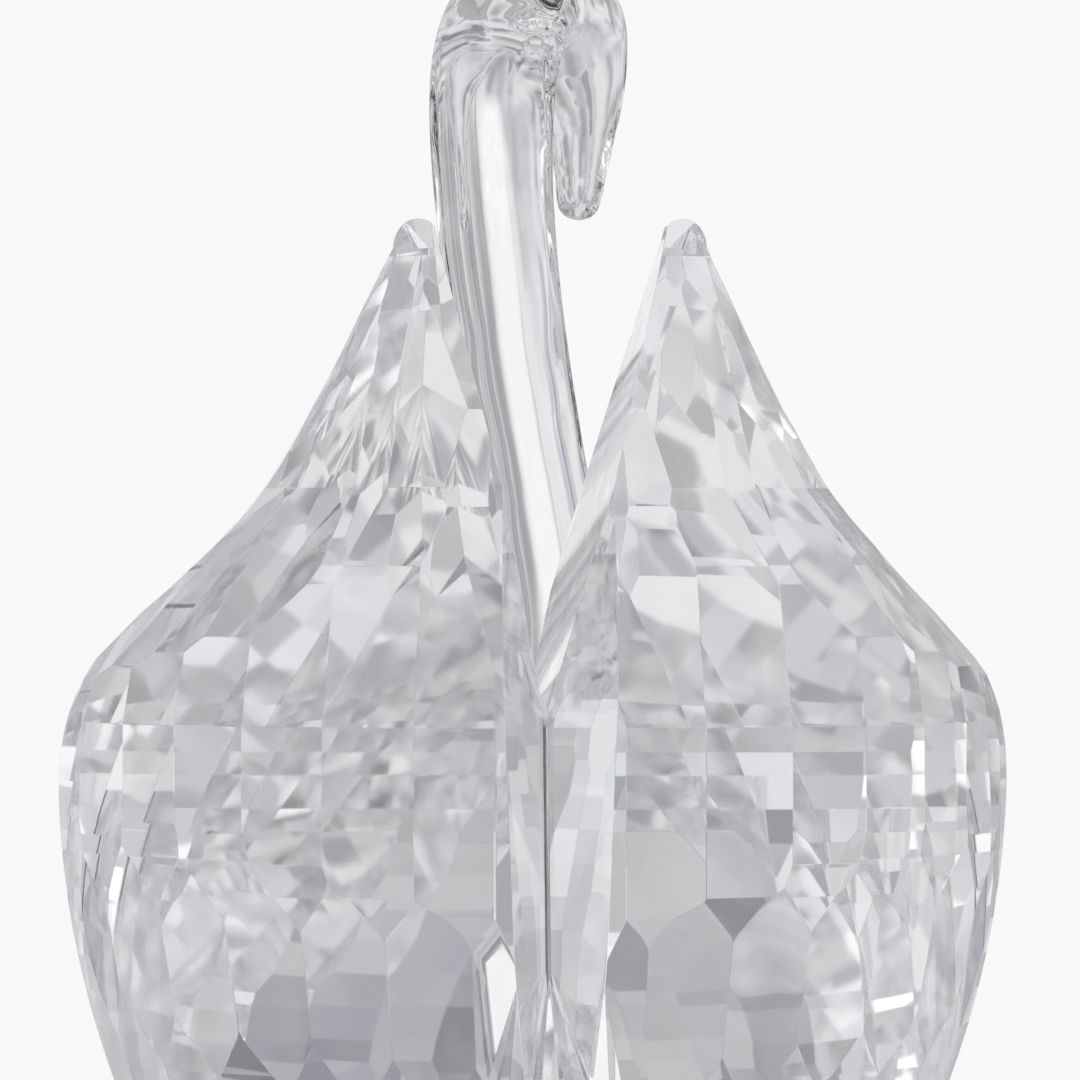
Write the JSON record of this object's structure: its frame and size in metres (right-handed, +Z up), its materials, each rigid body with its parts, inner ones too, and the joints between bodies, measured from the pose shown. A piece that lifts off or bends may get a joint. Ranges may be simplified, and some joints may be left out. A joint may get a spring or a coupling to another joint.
{
  "type": "swan figurine",
  "caption": "Clear cut-crystal swan with two raised faceted wings, a faceted breast and tail, and a smooth S-shaped neck with bowed head.",
  "frame": {"origin": "on the table, under the centre of the figurine's overall box", "axes": "+Z up; the swan faces -Y, and its left wing is on the +X side"},
  "size_m": [0.0544, 0.0656, 0.0852],
  "materials": {
    "cut_crystal": "clear crystal, ground and polished flat facets",
    "moulded_crystal": "clear crystal, smooth fire-polished moulding",
    "bond_film": "clear cured adhesive"
  },
  "bodies": {
    "root": {"left_wing": "cut_crystal", "right_wing": "cut_crystal", "breast": "cut_crystal", "tail": "cut_crystal", "neck_and_head": "moulded_crystal", "wing_bond": "bond_film", "left_breast_bond": "bond_film", "right_breast_bond": "bond_film", "left_tail_bond": "bond_film", "right_tail_bond": "bond_film", "neck_bond": "bond_film"}
  },
  "joints": []
}
